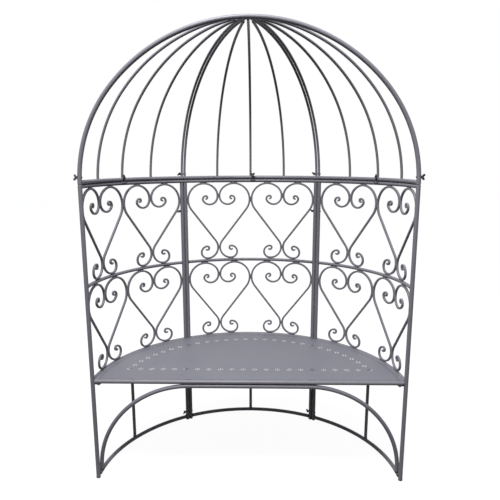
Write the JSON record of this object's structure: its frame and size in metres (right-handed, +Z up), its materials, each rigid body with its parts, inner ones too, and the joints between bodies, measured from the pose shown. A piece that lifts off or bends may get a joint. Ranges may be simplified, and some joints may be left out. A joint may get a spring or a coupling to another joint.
{
  "type": "arbour seat",
  "caption": "Half-round garden arbour seat of bent steel tube, with scrolled heart panels, a ribbed half-dome roof, a punched D-shaped bench and an arched front brace.",
  "frame": {"origin": "on the ground, at the middle of the outline's bounding box", "axes": "+Z up; the open front faces -Y and the curved back +Y; +X is to the right for a person who looks in from the front"},
  "size_m": [1.4482, 0.7105, 2.005],
  "materials": {
    "tube_paint": "satin",
    "seat_paint": "satin",
    "fastener_steel": "satin",
    "cap_plastic": "matte",
    "peg_rubber": "matte"
  },
  "bodies": {
    "root": {"arch_bolts": "fastener_steel", "arch_spigots": "tube_paint", "brace_pegs": "peg_rubber", "foot_caps": "cap_plastic", "front_brace": "tube_paint", "left_panel_baluster": "tube_paint", "left_panel_bottom_rail": "tube_paint", "left_panel_front_post": "tube_paint", "left_panel_lower_scrolls": "tube_paint", "left_panel_middle_rail": "tube_paint", "left_panel_rear_post": "tube_paint", "left_panel_seat_rail": "tube_paint", "left_panel_top_rail": "tube_paint", "left_panel_upper_scrolls": "tube_paint", "left_roof_base_rail": "tube_paint", "left_roof_front_rib": "tube_paint", "left_roof_inner_rib_front": "tube_paint", "left_roof_inner_rib_middle": "tube_paint", "left_roof_inner_rib_rear": "tube_paint", "left_roof_rear_rib": "tube_paint", "middle_panel_baluster": "tube_paint", "middle_panel_bottom_rail": "tube_paint", "middle_panel_left_post": "tube_paint", "middle_panel_lower_scrolls": "tube_paint", "middle_panel_middle_rail": "tube_paint", "middle_panel_right_post": "tube_paint", "middle_panel_seat_rail": "tube_paint", "middle_panel_top_rail": "tube_paint", "middle_panel_upper_scrolls": "tube_paint", "middle_roof_base_rail": "tube_paint", "middle_roof_inner_rib_left": "tube_paint", "middle_roof_inner_rib_middle": "tube_paint", "middle_roof_inner_rib_right": "tube_paint", "middle_roof_left_rib": "tube_paint", "middle_roof_right_rib": "tube_paint", "post_bolts": "fastener_steel", "rail_clamp_bolts": "fastener_steel", "rail_clamps": "tube_paint", "rib_bolts": "fastener_steel", "right_panel_baluster": "tube_paint", "right_panel_bottom_rail": "tube_paint", "right_panel_front_post": "tube_paint", "right_panel_lower_scrolls": "tube_paint", "right_panel_middle_rail": "tube_paint", "right_panel_rear_post": "tube_paint", "right_panel_seat_rail": "tube_paint", "right_panel_top_rail": "tube_paint", "right_panel_upper_scrolls": "tube_paint", "right_roof_base_rail": "tube_paint", "right_roof_front_rib": "tube_paint", "right_roof_inner_rib_front": "tube_paint", "right_roof_inner_rib_middle": "tube_paint", "right_roof_inner_rib_rear": "tube_paint", "right_roof_rear_rib": "tube_paint", "seat_back_tube": "tube_paint", "seat_bolts": "fastener_steel", "seat_brackets": "tube_paint", "seat_front_tube": "tube_paint", "seat_sheet": "seat_paint", "wing_nuts": "fastener_steel"}
  },
  "joints": []
}
